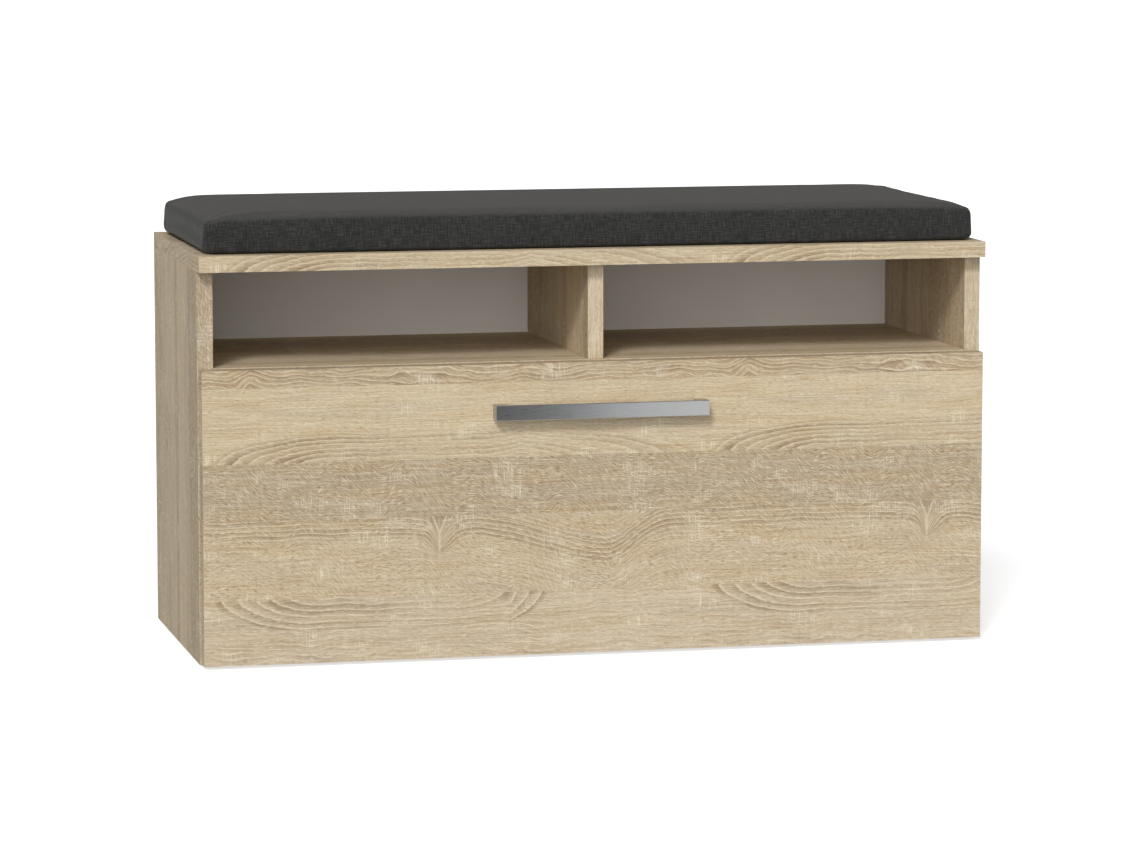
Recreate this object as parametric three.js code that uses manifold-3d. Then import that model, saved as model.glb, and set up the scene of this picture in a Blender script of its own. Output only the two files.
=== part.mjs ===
// Entryway bench: a chipboard carcass with two open cubbies above one wide drawer on roller runners,
// and a seat cushion on top. Millimetres, +Z up, +X along the width, +Y towards the wall.
// The bench stands on the floor at z = 0 and is centred on x = 0.
import * as THREE from "three";
import { mergeVertices } from "three/addons/utils/BufferGeometryUtils.js";
import Module from "manifold-3d";

const wasm = await Module();
wasm.setup();

// ---- Driving dimensions ----

// Carcass. Depths (y) count from the slab's front edge, heights (z) from the floor.
const WIDTH = 900;
const DEPTH = 350;
const BOARD = 18;
const GLIDE_HEIGHT = 3;
const CARCASS_HEIGHT = 455; // lower edge of the sides to the top of the slab
const EDGE_RECESS = 20; // front edges of the sides, shelf and divider behind the slab's edge
const CUBBY_HEIGHT = 107;
const BACK_THICK = 3;
const BACK_INSET = 17; // rear face of the back panel to the rear edges
const GROOVE_DEPTH = 8;
const GROOVE_PLAY = 0.5; // on each face of a panel in its groove
const GROOVE_ROOM = 1; // from a panel's edge to the floor of its groove

// Drawer
const FRONT_GAP = 2; // from the bench's outer faces to the front's ends
const FRONT_LIFT = 1; // lower edge of the front above the lower edges of the sides
const FRONT_DROP = 1; // upper edge of the front below the shelf's top
const BUMPER_GAP = 3; // between the front and the side edges
const RUNNER_GAP = 12.5; // between a carcass side and a drawer side
const BOX_BOARD = 16;
const BOX_LOW = 36;
const BOX_HEIGHT = 200;
const BOX_DEPTH = 300;
const BOX_FLOOR = 46; // underside of the drawer bottom
const BOX_FLOOR_THICK = 3;
const BOX_GROOVE_DEPTH = 6;
const BRACE_WIDTH = 60;
const DRAWER_TRAVEL = 220;

// Handle: a bar with a square leg at each end
const HANDLE_LENGTH = 244;
const HANDLE_TALL = 17;
const HANDLE_REACH = 18;
const HANDLE_BAR_THICK = 4;
const HANDLE_LEG = 14;
const HANDLE_SCREW_SPACING = 224;
const HANDLE_BELOW_EDGE = 53; // middle of the handle below the front's upper edge
const HANDLE_EDGE = 0.5; // broken edge

// Roller runners. The sheet is drawn 1 mm thick.
const RUNNER_SHEET = 1;
const RUNNER_LENGTH = 300;
const RUNNER_SETBACK = 2;
const RUNNER_FRONT_GAP = 1; // from the drawer front to the drawer runner
const CHANNEL_LOW = 39; // underside of the cabinet runner's channel
const CHANNEL_HIGH = 55;
const CHANNEL_REACH = 10; // from the carcass side to the flanges' free edges
const LEDGE_LOW = 56; // underside of the drawer runner's ledge, which runs on the front roller
const LEDGE_REACH = 9;
const FOOT_SETBACK = 2; // free edge of the drawer runner's foot from the drawer side's inner face
const FRONT_ROLLER = { radius: 7.75, z: 48, fromFront: 10, off: 3 }; // off: from the board's face
const REAR_ROLLER = { radius: 6.75, z: 47, fromRear: 10, off: 2.5 };
const ROLLER_WIDE = 6;
const ROLLER_EDGE = 0.75; // broken edge
const ROLLER_CLEAR = 5; // from the front roller to the end of the upper flange
const AXLE = { radius: 2.5, head: 4, headTall: 1, headGap: 0.5 };
const STOP = { tall: 3, thick: 3, under: 1 }; // under: how far it reaches in under the roller's curve
const RUNNER_SCREW = { radius: 1.5, head: 3, headTall: 1, long: 12 };
const RUNNER_SCREW_DEPTHS = [110, 250];
const CABINET_SCREW_Z = 47;
const DRAWER_SCREW_Z = 39.5;

// Cushion
const CUSHION_WIDTH = 888;
const CUSHION_DEPTH = 330;
const CUSHION_THICK = 46;
const CUSHION_FRONT = 12; // behind the slab's front edge
const CUSHION_CORNER = 14;
const CUSHION_EDGE = 10;
const STRIP_THICK = 1;
const STRIP_SIZE = [300, 30];

// Fittings
const ROUND_SIDES = 12; // flats on a fitting
const ROLLER_SIDES = 24;
const PLAY = 0.3; // between a fitting and its hole
const PAST = 1; // how far a cutter goes past the face that it opens
const DOWEL = { radius: 4, long: 30, inFace: 10 };
const DOWEL_DEPTHS = [75, 275];
const CAM = { radius: 7.5, tall: 12, fromEnd: 24, boltRadius: 3, boltIn: 10 };
const CAM_DEPTHS = [60, 290];
const GLIDE = { radius: 8, edge: 1.5, nail: 1, nailLong: 12 };
const GLIDE_DEPTHS = [40, 325];
const BUMPER = { radius: 4, thick: 2.5, heights: [40, 300] };
const M4 = { radius: 2, head: 4, headTall: 2.5, inLeg: 10 };

// ---- Places worked out from them ----

const SLAB_TOP = GLIDE_HEIGHT + CARCASS_HEIGHT;
const SLAB_LOW = SLAB_TOP - BOARD;
const SHELF_TOP = SLAB_LOW - CUBBY_HEIGHT;
const SHELF_LOW = SHELF_TOP - BOARD;
const INNER_X = WIDTH / 2 - BOARD;
const SIDE_X = WIDTH / 2 - BOARD / 2;
const BACK_REAR = DEPTH - BACK_INSET;
const BACK_FACE = BACK_REAR - BACK_THICK;
const FRONT_REAR = EDGE_RECESS - BUMPER_GAP;
const FRONT_FACE = FRONT_REAR - BOARD;
const FRONT_TOP = SHELF_TOP - FRONT_DROP;
const BOX_X = INNER_X - RUNNER_GAP;
const BOX_REAR = FRONT_REAR + BOX_DEPTH;
const BOX_TOP = BOX_LOW + BOX_HEIGHT;
const HANDLE_Z = FRONT_TOP - HANDLE_BELOW_EDGE;
const RUNNER_FRONT = EDGE_RECESS + RUNNER_SETBACK;
const FRONT_ROLLER_Y = RUNNER_FRONT + FRONT_ROLLER.fromFront;
const REAR_ROLLER_Y = BOX_REAR - REAR_ROLLER.fromRear;
const handleScrewX = [-HANDLE_SCREW_SPACING / 2, HANDLE_SCREW_SPACING / 2];
const boardDepth = [EDGE_RECESS, BACK_FACE];
const grooveDepth = [BACK_FACE - GROOVE_PLAY, BACK_REAR + GROOVE_PLAY];

// ---- Finishes ----

const finish = (color, roughness, metalness = 0) =>
  new THREE.MeshStandardMaterial({ color, roughness, metalness });
const oakLaminate = finish(0xc8b89b, 0.55);
const whiteHardboard = finish(0xdcd8d2, 0.6);
const whiteBoard = finish(0xe6e3dc, 0.5);
const satinSteel = finish(0xa4a4a6, 0.35, 1);
const zincSteel = finish(0xb9bcc0, 0.4, 1);
const coatedSteel = finish(0xe9e9e6, 0.45, 0.2);
const nylon = finish(0xf1f0ea, 0.4);
const clearRubber = finish(0xd9dcdc, 0.3);
const beech = finish(0xd2ab7c, 0.7);
const wovenFabric = finish(0x3b3b3d, 0.95);
const hookTape = finish(0x242426, 0.95);

// ---- Shapes ----

// A box between two corners.
function block([x0, x1], [y0, y1], [z0, z1]) {
  const box = new THREE.BoxGeometry(x1 - x0, y1 - y0, z1 - z0);
  return box.translate((x0 + x1) / 2, (y0 + y1) / 2, (z0 + z1) / 2);
}

// Turns a shape made about the y axis to the x, y or z axis, then moves its axis to the other two places.
function onAxis(axis, geometry, [u, v]) {
  if (axis === "x") return geometry.rotateZ(-Math.PI / 2).translate(0, u, v);
  if (axis === "z") return geometry.rotateX(Math.PI / 2).translate(u, v, 0);
  return geometry.translate(u, 0, v);
}

// A round bar from start to end along an axis.
function bar(axis, radius, [start, end], place) {
  const rod = new THREE.CylinderGeometry(radius, radius, end - start, ROUND_SIDES);
  return onAxis(axis, rod.translate(0, (start + end) / 2, 0), place);
}

// The stretch between two distances from x, counted towards the right (1) or the left (-1).
function stretch(x, towards, from, to) {
  return [x + towards * from, x + towards * to].sort((a, b) => a - b);
}

// A solid of revolution about an axis, from [radius, height along the axis] points.
function turned(axis, outline, place, sides) {
  const points = outline.map(([radius, along]) => new THREE.Vector2(radius, along));
  return onAxis(axis, new THREE.LatheGeometry(points, sides), place);
}

// A manifold solid of a closed geometry.
function solid(geometry) {
  const bare = geometry.clone();
  bare.deleteAttribute("normal");
  bare.deleteAttribute("uv");
  const merged = mergeVertices(bare);
  return new wasm.Manifold(
    new wasm.Mesh({
      numProp: 3,
      vertProperties: merged.attributes.position.array,
      triVerts: new Uint32Array(merged.index.array),
    }),
  );
}

// A flat-shaded geometry of a manifold solid.
function geometryOf(made) {
  const mesh = made.getMesh();
  const geometry = new THREE.BufferGeometry();
  geometry.setAttribute("position", new THREE.BufferAttribute(mesh.vertProperties, 3));
  geometry.setIndex(new THREE.BufferAttribute(mesh.triVerts, 1));
  const flat = geometry.toNonIndexed();
  flat.computeVertexNormals();
  return flat;
}

// The first shape with the others joined to it and the holes taken out.
function shaped(parts, holes = []) {
  const whole = parts.map(solid).reduce((all, part) => all.add(part));
  return geometryOf(holes.map(solid).reduce((left, hole) => left.subtract(hole), whole));
}

// A named mesh whose own origin is the middle of its box.
function piece(name, material, geometry) {
  geometry.computeBoundingBox();
  const middle = geometry.boundingBox.getCenter(new THREE.Vector3());
  geometry.translate(-middle.x, -middle.y, -middle.z);
  const mesh = new THREE.Mesh(geometry, material);
  mesh.name = name;
  mesh.position.copy(middle);
  return mesh;
}

function groupOf(pieces) {
  const group = new THREE.Group();
  group.add(...pieces);
  return group;
}

// Pieces made for the right-hand end, and the same pieces mirrored for the left.
function bothEnds(make) {
  return [
    ["left", -1],
    ["right", 1],
  ].map(([end, sign]) => {
    const group = groupOf(make(end));
    group.scale.x = sign;
    return group;
  });
}

// ---- Fittings, and the holes that they sit in ----

// A dowel across a joint at height z. It goes deeper into the upright board, above or below the joint.
function dowelBar(x, y, z, uprightAbove, play) {
  const inFace = DOWEL.inFace + play;
  const inEdge = DOWEL.long - DOWEL.inFace + play;
  const [down, up] = uprightAbove ? [inFace, inEdge] : [inEdge, inFace];
  return bar("z", DOWEL.radius + play, [z - down, z + up], [x, y]);
}
const dowel = (name, ...joint) => piece(name, beech, dowelBar(...joint, -PLAY / 2));
const dowelHoles = (x, z, uprightAbove) =>
  DOWEL_DEPTHS.map((y) => dowelBar(x, y, z, uprightAbove, PLAY / 2));

// A cam lock in the underside of a level board, from height lockLow up, and the bolt that goes on from it
// into the right side.
function camShapes(y, boardLow, lockLow, play) {
  const x = INNER_X - CAM.fromEnd;
  const lock = bar("z", CAM.radius + play, [lockLow, boardLow + CAM.tall + play], [x, y]);
  const bolt = bar("x", CAM.boltRadius + play, [x, INNER_X + CAM.boltIn + play], [y, boardLow + BOARD / 2]);
  return [lock, bolt];
}
const camHoles = (boardLow) => CAM_DEPTHS.flatMap((y) => camShapes(y, boardLow, boardLow - PAST, PLAY / 2));
const camFitting = (name, y, boardLow) =>
  piece(name, zincSteel, shaped(camShapes(y, boardLow, boardLow + PLAY, -PLAY / 2)));

// Mirrors a shape's twin to the left-hand end.
function onBothEnds(shapes) {
  return shapes.flatMap((shape) => {
    const twin = solid(shape).mirror([1, 0, 0]);
    return [shape, geometryOf(twin)];
  });
}

// A nail-on glide: a domed disc under the side's lower edge, with a nail up into it.
const glideShape = (y, play) =>
  turned(
    "z",
    [
      [0, 0],
      [GLIDE.radius - GLIDE.edge, 0],
      [GLIDE.radius, GLIDE.edge],
      [GLIDE.radius, GLIDE_HEIGHT],
      [GLIDE.nail + play, GLIDE_HEIGHT],
      [GLIDE.nail + play, GLIDE_HEIGHT + GLIDE.nailLong + play],
      [0, GLIDE_HEIGHT + GLIDE.nailLong + play],
    ],
    [SIDE_X, y],
    ROUND_SIDES,
  );

// ---- Carcass ----

function topSlab() {
  const board = block([-WIDTH / 2, WIDTH / 2], [0, DEPTH], [SLAB_LOW, SLAB_TOP]);
  const reach = INNER_X + GROOVE_DEPTH;
  const groove = block([-reach, reach], grooveDepth, [SLAB_LOW - PAST, SLAB_LOW + GROOVE_DEPTH]);
  const sideDowels = onBothEnds(dowelHoles(SIDE_X, SLAB_LOW, false));
  const dividerDowels = dowelHoles(0, SLAB_LOW, false);
  return piece("top_slab", oakLaminate, shaped([board], [groove, ...sideDowels, ...dividerDowels]));
}

function side(end) {
  const board = block([INNER_X, WIDTH / 2], [EDGE_RECESS, DEPTH], [GLIDE_HEIGHT, SLAB_LOW]);
  const groove = block([INNER_X - PAST, INNER_X + GROOVE_DEPTH], grooveDepth, [0, SLAB_LOW + PAST]);
  const nailTop = GLIDE_HEIGHT + GLIDE.nailLong + PLAY;
  const screwSpan = [INNER_X - PAST, INNER_X + RUNNER_SCREW.long + PLAY];
  const holes = [
    groove,
    ...dowelHoles(SIDE_X, SLAB_LOW, false),
    ...camHoles(SHELF_LOW),
    ...camHoles(GLIDE_HEIGHT),
    ...GLIDE_DEPTHS.map((y) => bar("z", GLIDE.nail + PLAY, [0, nailTop], [SIDE_X, y])),
    ...RUNNER_SCREW_DEPTHS.map((y) => bar("x", RUNNER_SCREW.radius + PLAY, screwSpan, [y, CABINET_SCREW_Z])),
  ];
  return piece(end + "_side", oakLaminate, shaped([board], holes));
}

// A level board between the sides: the shelf or the bottom panel.
function levelBoard(name, boardLow, moreHoles = []) {
  const board = block([-INNER_X, INNER_X], boardDepth, [boardLow, boardLow + BOARD]);
  return piece(name, oakLaminate, shaped([board], [...onBothEnds(camHoles(boardLow)), ...moreHoles]));
}

function centreDivider() {
  const board = block([-BOARD / 2, BOARD / 2], boardDepth, [SHELF_TOP, SLAB_LOW]);
  const holes = [...dowelHoles(0, SLAB_LOW, false), ...dowelHoles(0, SHELF_TOP, true)];
  return piece("centre_divider", oakLaminate, shaped([board], holes));
}

function backPanel() {
  const tongue = GROOVE_DEPTH - GROOVE_ROOM;
  const reach = INNER_X + tongue;
  const panel = block([-reach, reach], [BACK_FACE, BACK_REAR], [GLIDE_HEIGHT, SLAB_LOW + tongue]);
  return piece("back_panel", whiteHardboard, panel);
}

function carcassFittings() {
  const dividerDowels = DOWEL_DEPTHS.flatMap((y, i) => [
    dowel("divider_top_dowel_" + (i + 1), 0, y, SLAB_LOW, false),
    dowel("divider_foot_dowel_" + (i + 1), 0, y, SHELF_TOP, true),
  ]);
  const endFittings = bothEnds((end) => [
    ...DOWEL_DEPTHS.map((y, i) => dowel(`${end}_slab_dowel_${i + 1}`, SIDE_X, y, SLAB_LOW, false)),
    ...CAM_DEPTHS.map((y, i) => camFitting(`${end}_shelf_cam_${i + 1}`, y, SHELF_LOW)),
    ...CAM_DEPTHS.map((y, i) => camFitting(`${end}_bottom_cam_${i + 1}`, y, GLIDE_HEIGHT)),
    ...GLIDE_DEPTHS.map((y, i) => piece(`${end}_glide_${i + 1}`, nylon, glideShape(y, 0))),
  ]);
  return [...dividerDowels, ...endFittings];
}

function carcass() {
  return groupOf([
    topSlab(),
    ...bothEnds((end) => [side(end)]),
    levelBoard("shelf_panel", SHELF_LOW, dowelHoles(0, SHELF_TOP, true)),
    levelBoard("bottom_panel", GLIDE_HEIGHT),
    centreDivider(),
    backPanel(),
    ...carcassFittings(),
  ]);
}

// ---- Roller runners, drawn for the right-hand end ----

// A moulded roller with broken edges and a bore that clears its axle, beside the board face at x.
function roller(name, { radius, z, off }, x, towards, y) {
  const [x0, x1] = stretch(x, towards, off, off + ROLLER_WIDE);
  const bore = AXLE.radius + PLAY;
  const outline = [
    [bore, x0],
    [radius - ROLLER_EDGE, x0],
    [radius, x0 + ROLLER_EDGE],
    [radius, x1 - ROLLER_EDGE],
    [radius - ROLLER_EDGE, x1],
    [bore, x1],
    [bore, x0],
  ];
  return piece(name, nylon, turned("x", outline, [y, z], ROLLER_SIDES));
}

// A roller's axle out of a runner's sheet, and the head that keeps the roller on.
function axle(x, towards, { z, off }, y) {
  const headStart = off + ROLLER_WIDE + AXLE.headGap;
  const pin = stretch(x, towards, RUNNER_SHEET / 2, headStart + AXLE.headTall / 2);
  const head = stretch(x, towards, headStart, headStart + AXLE.headTall);
  return [bar("x", AXLE.radius, pin, [y, z]), bar("x", AXLE.head, head, [y, z])];
}

// A flat-headed screw through a runner's sheet at x, into the board on the side that towards points to.
function runnerScrew(name, x, towards, y, z) {
  const head = bar("x", RUNNER_SCREW.head, stretch(x, towards, -RUNNER_SCREW.headTall, 0), [y, z]);
  const whole = stretch(x, towards, -RUNNER_SCREW.headTall, RUNNER_SCREW.long);
  return piece(name, zincSteel, shaped([head, bar("x", RUNNER_SCREW.radius, whole, [y, z])]));
}
const sheetHoles = (x, z) => {
  const through = [x - RUNNER_SHEET - PAST, x + RUNNER_SHEET + PAST];
  return RUNNER_SCREW_DEPTHS.map((y) => bar("x", RUNNER_SCREW.radius + PLAY, through, [y, z]));
};

// The channel screwed to the carcass side. Its front end carries a roller, and a stop ends the travel.
function cabinetRunner(end) {
  const sheet = [INNER_X - RUNNER_SHEET, INNER_X];
  const flange = [INNER_X - CHANNEL_REACH, INNER_X];
  const length = [RUNNER_FRONT, RUNNER_FRONT + RUNNER_LENGTH];
  const overRoller = [FRONT_ROLLER_Y + FRONT_ROLLER.radius + ROLLER_CLEAR, length[1]];
  const stopY = REAR_ROLLER_Y - DRAWER_TRAVEL - REAR_ROLLER.radius + STOP.under;
  const parts = [
    block(sheet, length, [CHANNEL_LOW, CHANNEL_HIGH]),
    block(flange, length, [CHANNEL_LOW, CHANNEL_LOW + RUNNER_SHEET]),
    block(flange, overRoller, [CHANNEL_HIGH - RUNNER_SHEET, CHANNEL_HIGH]),
    block(flange, [stopY - STOP.thick, stopY], [CHANNEL_LOW, CHANNEL_LOW + STOP.tall]),
    ...axle(INNER_X, -1, FRONT_ROLLER, FRONT_ROLLER_Y),
  ];
  return piece(end + "_cabinet_runner", coatedSteel, shaped(parts, sheetHoles(INNER_X, CABINET_SCREW_Z)));
}

// The angle under the drawer side. Its ledge rolls on the front roller, and its rear end carries a roller.
function drawerRunner(end) {
  const length = [FRONT_REAR + RUNNER_FRONT_GAP, BOX_REAR];
  const sheet = [BOX_X, BOX_X + RUNNER_SHEET];
  const foot = [BOX_X - BOX_BOARD + FOOT_SETBACK, BOX_X + RUNNER_SHEET];
  const ledge = [BOX_X, BOX_X + RUNNER_SHEET + LEDGE_REACH];
  const parts = [
    block(sheet, length, [BOX_LOW - RUNNER_SHEET, LEDGE_LOW + RUNNER_SHEET]),
    block(foot, length, [BOX_LOW - RUNNER_SHEET, BOX_LOW]),
    block(ledge, length, [LEDGE_LOW, LEDGE_LOW + RUNNER_SHEET]),
    ...axle(BOX_X, 1, REAR_ROLLER, REAR_ROLLER_Y),
  ];
  return piece(end + "_drawer_runner", coatedSteel, shaped(parts, sheetHoles(BOX_X, DRAWER_SCREW_Z)));
}

function cabinetRunnerSet(end) {
  const screws = RUNNER_SCREW_DEPTHS.map((y, i) =>
    runnerScrew(`${end}_cabinet_runner_screw_${i + 1}`, INNER_X - RUNNER_SHEET, 1, y, CABINET_SCREW_Z),
  );
  const rolling = roller(end + "_front_roller", FRONT_ROLLER, INNER_X, -1, FRONT_ROLLER_Y);
  return [cabinetRunner(end), rolling, ...screws];
}

function drawerRunnerSet(end) {
  const screws = RUNNER_SCREW_DEPTHS.map((y, i) =>
    runnerScrew(`${end}_drawer_runner_screw_${i + 1}`, BOX_X + RUNNER_SHEET, -1, y, DRAWER_SCREW_Z),
  );
  const rolling = roller(end + "_rear_roller", REAR_ROLLER, BOX_X, 1, REAR_ROLLER_Y);
  return [drawerRunner(end), rolling, ...screws];
}

// ---- Drawer ----

const boxFloorGroove = [BOX_FLOOR - GROOVE_PLAY, BOX_FLOOR + BOX_FLOOR_THICK + GROOVE_PLAY];

function drawerFront() {
  const reach = WIDTH / 2 - FRONT_GAP;
  const board = block([-reach, reach], [FRONT_FACE, FRONT_REAR], [GLIDE_HEIGHT + FRONT_LIFT, FRONT_TOP]);
  const grooveX = BOX_X - BOX_BOARD + BOX_GROOVE_DEPTH;
  const grooveY = [FRONT_REAR - BOX_GROOVE_DEPTH, FRONT_REAR + PAST];
  const groove = block([-grooveX, grooveX], grooveY, boxFloorGroove);
  const screwHoles = handleScrewX.map((x) =>
    bar("y", M4.radius + PLAY, [FRONT_FACE - PAST, FRONT_REAR + PAST], [x, HANDLE_Z]),
  );
  return piece("drawer_front", oakLaminate, shaped([board], [groove, ...screwHoles]));
}

function drawerSide(end) {
  const inner = BOX_X - BOX_BOARD;
  const board = block([inner, BOX_X], [FRONT_REAR, BOX_REAR], [BOX_LOW, BOX_TOP]);
  const grooveLength = [FRONT_REAR - PAST, BOX_REAR + PAST];
  const groove = block([inner - PAST, inner + BOX_GROOVE_DEPTH], grooveLength, boxFloorGroove);
  const screwSpan = [BOX_X - RUNNER_SCREW.long - PLAY, BOX_X + PAST];
  const holes = RUNNER_SCREW_DEPTHS.map((y) =>
    bar("x", RUNNER_SCREW.radius + PLAY, screwSpan, [y, DRAWER_SCREW_Z]),
  );
  return piece(`drawer_${end}_side`, whiteBoard, shaped([board], [groove, ...holes]));
}

function drawerBox() {
  const inner = BOX_X - BOX_BOARD;
  const tongue = BOX_GROOVE_DEPTH - GROOVE_ROOM;
  const floorTop = BOX_FLOOR + BOX_FLOOR_THICK;
  const back = block([-inner, inner], [BOX_REAR - BOX_BOARD, BOX_REAR], [floorTop, BOX_TOP]);
  const floorX = inner + tongue;
  const floor = block([-floorX, floorX], [FRONT_REAR - tongue, BOX_REAR], [BOX_FLOOR, floorTop]);
  const brace = block([-BRACE_WIDTH / 2, BRACE_WIDTH / 2], [FRONT_REAR, BOX_REAR], [BOX_LOW, BOX_FLOOR]);
  return [
    ...bothEnds((end) => [drawerSide(end)]),
    piece("drawer_back", whiteBoard, back),
    piece("drawer_bottom", whiteHardboard, floor),
    piece("drawer_bottom_brace", whiteBoard, brace),
  ];
}

function bumpers() {
  return bothEnds((end) =>
    BUMPER.heights.map((z, i) => {
      const pad = bar("y", BUMPER.radius, [FRONT_REAR, FRONT_REAR + BUMPER.thick], [SIDE_X, z]);
      return piece(`${end}_bumper_${i + 1}`, clearRubber, pad);
    }),
  );
}

// The handle in plan: a bar with a leg at each end, drawn from the right leg's foot round the outside.
function handleBar() {
  const half = HANDLE_LENGTH / 2 - HANDLE_EDGE;
  const legX = HANDLE_LENGTH / 2 - HANDLE_LEG + HANDLE_EDGE;
  const outerY = HANDLE_REACH - HANDLE_EDGE;
  const innerY = HANDLE_REACH - HANDLE_BAR_THICK + HANDLE_EDGE;
  const plan = new THREE.Shape([
    new THREE.Vector2(half, HANDLE_EDGE),
    new THREE.Vector2(half, outerY),
    new THREE.Vector2(-half, outerY),
    new THREE.Vector2(-half, HANDLE_EDGE),
    new THREE.Vector2(-legX, HANDLE_EDGE),
    new THREE.Vector2(-legX, innerY),
    new THREE.Vector2(legX, innerY),
    new THREE.Vector2(legX, HANDLE_EDGE),
  ]);
  const body = new THREE.ExtrudeGeometry(plan, {
    depth: HANDLE_TALL - 2 * HANDLE_EDGE,
    bevelThickness: HANDLE_EDGE,
    bevelSize: HANDLE_EDGE,
    bevelSegments: 1,
  });
  body.rotateX(Math.PI).translate(0, FRONT_FACE, HANDLE_Z + HANDLE_TALL / 2 - HANDLE_EDGE);
  const holes = handleScrewX.map((x) =>
    bar("y", M4.radius + PLAY, [FRONT_FACE - M4.inLeg - PLAY, FRONT_FACE + PAST], [x, HANDLE_Z]),
  );
  return piece("handle_bar", satinSteel, shaped([body], holes));
}

function handleScrew(end) {
  const place = [handleScrewX[1], HANDLE_Z];
  const headEnd = FRONT_REAR + M4.headTall;
  const shank = bar("y", M4.radius, [FRONT_FACE - M4.inLeg, headEnd], place);
  const head = bar("y", M4.head, [FRONT_REAR, headEnd], place);
  return piece("handle_screw_" + end, zincSteel, shaped([shank, head]));
}

function drawer() {
  return groupOf([
    drawerFront(),
    ...drawerBox(),
    ...bumpers(),
    handleBar(),
    ...bothEnds((end) => [handleScrew(end)]),
    ...bothEnds(drawerRunnerSet),
  ]);
}

// ---- Seat ----

// A rectangle with round corners, about the origin.
function roundedRectangle(width, depth, radius) {
  const [x, y] = [width / 2 - radius, depth / 2 - radius];
  const shape = new THREE.Shape();
  shape.absarc(x, y, radius, 0, Math.PI / 2);
  shape.absarc(-x, y, radius, Math.PI / 2, Math.PI);
  shape.absarc(-x, -y, radius, Math.PI, 1.5 * Math.PI);
  shape.absarc(x, -y, radius, 1.5 * Math.PI, 2 * Math.PI);
  return shape;
}

function seatCushion() {
  const outline = roundedRectangle(
    CUSHION_WIDTH - 2 * CUSHION_EDGE,
    CUSHION_DEPTH - 2 * CUSHION_EDGE,
    CUSHION_CORNER - CUSHION_EDGE,
  );
  const pad = new THREE.ExtrudeGeometry(outline, {
    depth: CUSHION_THICK - 2 * CUSHION_EDGE,
    bevelThickness: CUSHION_EDGE,
    bevelSize: CUSHION_EDGE,
    bevelSegments: 3,
    curveSegments: 4,
  });
  pad.translate(0, CUSHION_FRONT + CUSHION_DEPTH / 2, SLAB_TOP + STRIP_THICK + CUSHION_EDGE);
  return piece("seat_cushion", wovenFabric, pad);
}

// The fastening strips between the cushion and the slab.
function cushionStrip(end) {
  const [long, wide] = STRIP_SIZE;
  const middleX = CUSHION_WIDTH / 4;
  const middleY = CUSHION_FRONT + CUSHION_DEPTH / 2;
  const spanX = [middleX - long / 2, middleX + long / 2];
  const spanY = [middleY - wide / 2, middleY + wide / 2];
  return piece(end + "_cushion_strip", hookTape, block(spanX, spanY, [SLAB_TOP, SLAB_TOP + STRIP_THICK]));
}

// ---- The bench ----

const bench = groupOf([
  carcass(),
  ...bothEnds(cabinetRunnerSet),
  drawer(),
  seatCushion(),
  ...bothEnds((end) => [cushionStrip(end)]),
]);
// Depths count from the slab's edge above, so this centres the whole depth, handle included, on y = 0.
bench.position.y = -(DEPTH + FRONT_FACE - HANDLE_REACH) / 2;

export default bench;
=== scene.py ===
"""Entryway bench: oak laminate carcass, drawer on roller runners, satin steel handle, woven seat cushion."""

import math

import bmesh
import bpy
import numpy as np
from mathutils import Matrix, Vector


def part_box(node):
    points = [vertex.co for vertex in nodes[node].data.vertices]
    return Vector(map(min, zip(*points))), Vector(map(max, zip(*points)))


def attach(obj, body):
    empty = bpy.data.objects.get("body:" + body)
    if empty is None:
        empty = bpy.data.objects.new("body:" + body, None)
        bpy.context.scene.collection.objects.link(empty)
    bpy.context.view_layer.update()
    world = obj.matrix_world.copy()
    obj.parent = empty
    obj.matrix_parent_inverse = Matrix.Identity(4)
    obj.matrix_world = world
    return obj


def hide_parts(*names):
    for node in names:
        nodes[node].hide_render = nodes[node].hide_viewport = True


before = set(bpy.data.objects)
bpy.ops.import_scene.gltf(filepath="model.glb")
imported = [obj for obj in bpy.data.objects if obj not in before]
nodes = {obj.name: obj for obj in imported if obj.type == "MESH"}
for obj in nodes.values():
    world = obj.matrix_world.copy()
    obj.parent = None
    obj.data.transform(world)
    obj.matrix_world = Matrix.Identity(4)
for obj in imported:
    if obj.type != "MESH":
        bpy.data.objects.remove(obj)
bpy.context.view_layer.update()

scene = bpy.context.scene

MM = 0.001

# The printed oak sheet: five planks side by side, and the whole picture comes back along the grain.
REPEAT = 566.0
SHEET = 328.0
PLANK_EDGES = (20.5, 104.0, 168.0, 256.0)

# Places of the figure along the grain, in millimetres from the start of a repeat.
PEAK = 53  # the small peak in the narrow top plank
KINK = 357  # where the second plank's rings rise to a point
KNOT = 265.0  # the middle of the fourth plank's knot
LEAF = 345  # where the fifth plank's rings close in a leaf


# ---------------------------------------------------------------------------------------- helpers


def linear(code):
    """An sRGB hex colour as linear red, green, blue and alpha."""
    shares = [int(code[i : i + 2], 16) / 255 for i in (1, 3, 5)]
    return tuple(s / 12.92 if s <= 0.04045 else ((s + 0.055) / 1.055) ** 2.4 for s in shares) + (1.0,)


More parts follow.
